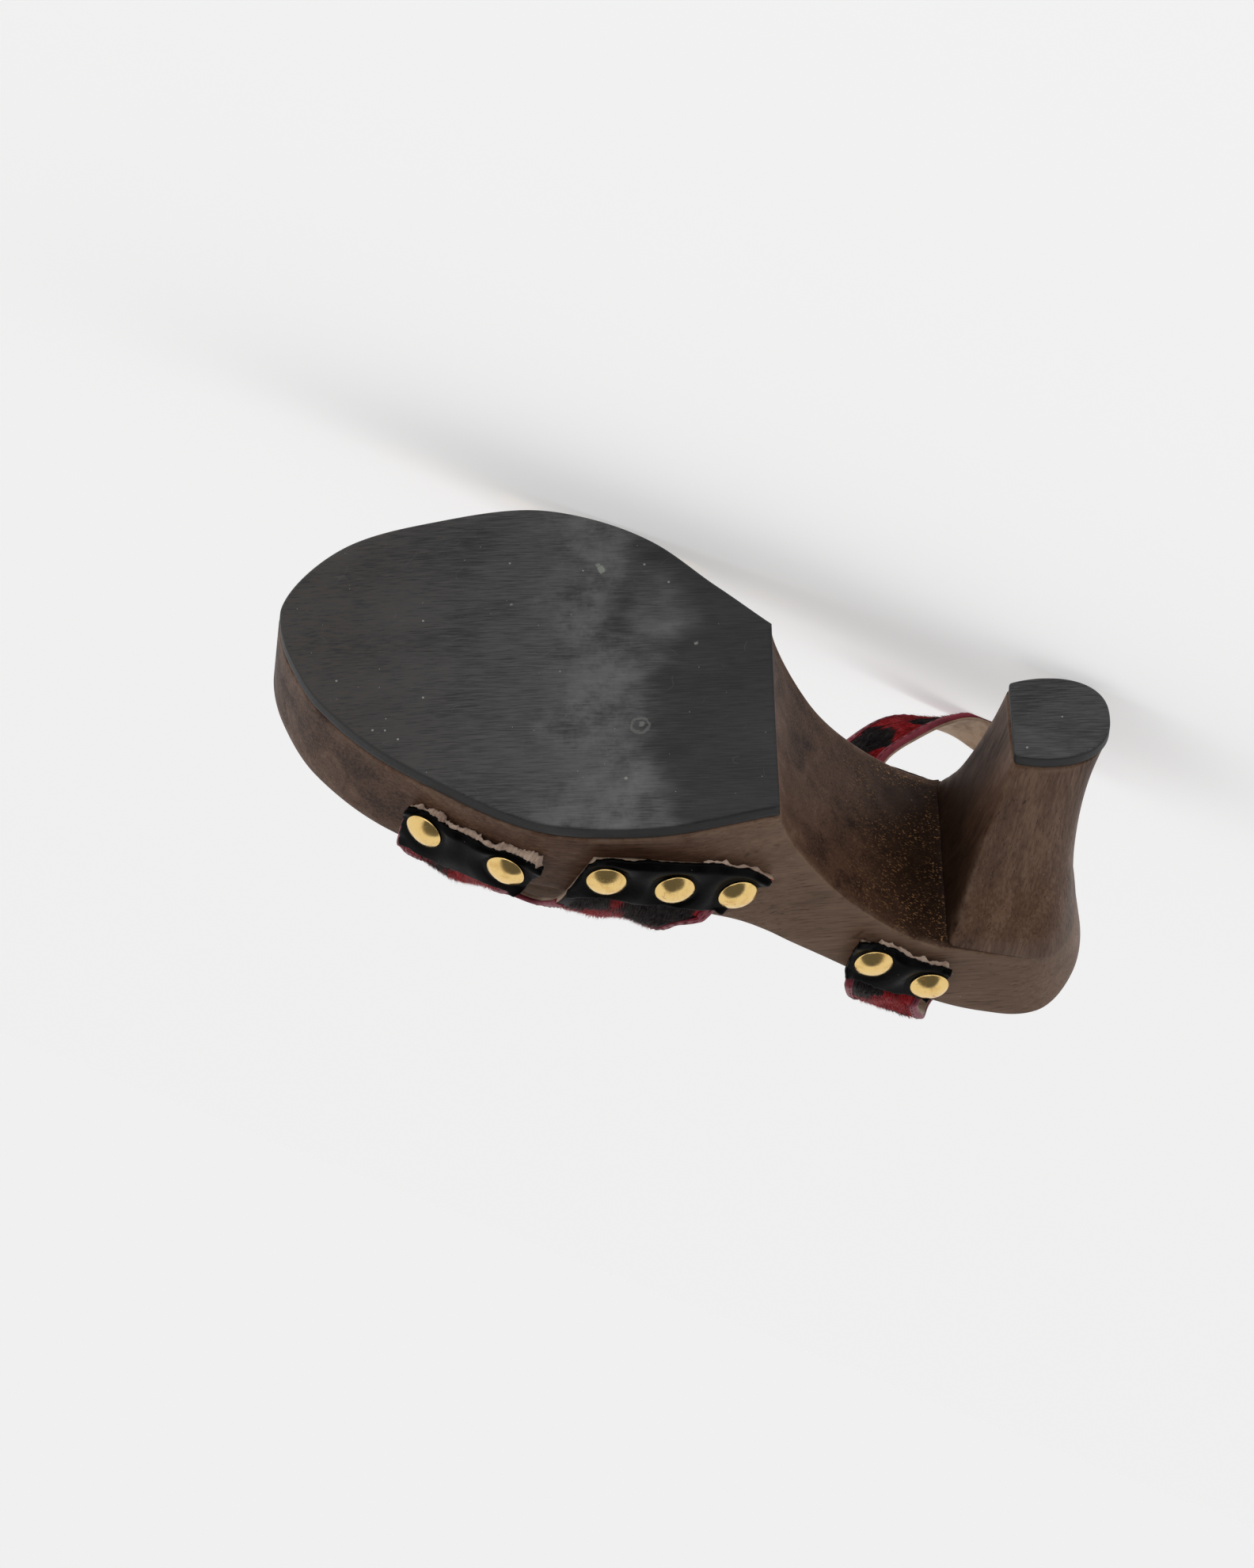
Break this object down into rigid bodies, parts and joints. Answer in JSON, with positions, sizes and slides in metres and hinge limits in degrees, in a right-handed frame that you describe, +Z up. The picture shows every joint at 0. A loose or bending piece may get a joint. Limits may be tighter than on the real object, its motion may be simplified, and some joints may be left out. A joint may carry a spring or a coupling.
{
  "type": "heeled clog sandal",
  "caption": "High-heeled open sandal with a one-piece wooden platform and turned wooden heel, a hair-on leather vamp and ankle band nailed to the walls, lying on its inner side.",
  "frame": {"origin": "Middle of the box's footprint, on the floor that the shoe lies on.", "axes": "Z is up from the floor. X is the level way that the toe points, and is the longest way. The shoe lies on its inner side, so the sole faces towards -Y and the footbed towards +Y."},
  "size_m": [0.2382, 0.1384, 0.1072],
  "materials": {
    "sole_wood": "dark stained, satin",
    "heel_wood": "dark stained, satin",
    "rubber": "brushed, worn",
    "hair_leather": "short red hair with black spots",
    "patch_leather": "smooth black, raw edges",
    "stud_brass": "polished, scuffed"
  },
  "bodies": {
    "root": {"wood_sole": "sole_wood", "heel_block": "heel_wood", "outsole_forepart": "rubber", "heel_top_lift": "rubber", "vamp_upper": "hair_leather", "ankle_band": "hair_leather", "patch_toe_outer": "patch_leather", "patch_toe_inner": "patch_leather", "patch_instep_outer": "patch_leather", "patch_instep_inner": "patch_leather", "patch_heel_outer": "patch_leather", "patch_heel_inner": "patch_leather", "stud_toe_outer_1": "stud_brass", "stud_toe_outer_2": "stud_brass", "stud_toe_inner_1": "stud_brass", "stud_toe_inner_2": "stud_brass", "stud_instep_outer_1": "stud_brass", "stud_instep_outer_2": "stud_brass", "stud_instep_outer_3": "stud_brass", "stud_instep_inner_1": "stud_brass", "stud_instep_inner_2": "stud_brass", "stud_instep_inner_3": "stud_brass", "stud_heel_outer_1": "stud_brass", "stud_heel_outer_2": "stud_brass", "stud_heel_inner_1": "stud_brass", "stud_heel_inner_2": "stud_brass"}
  },
  "joints": []
}
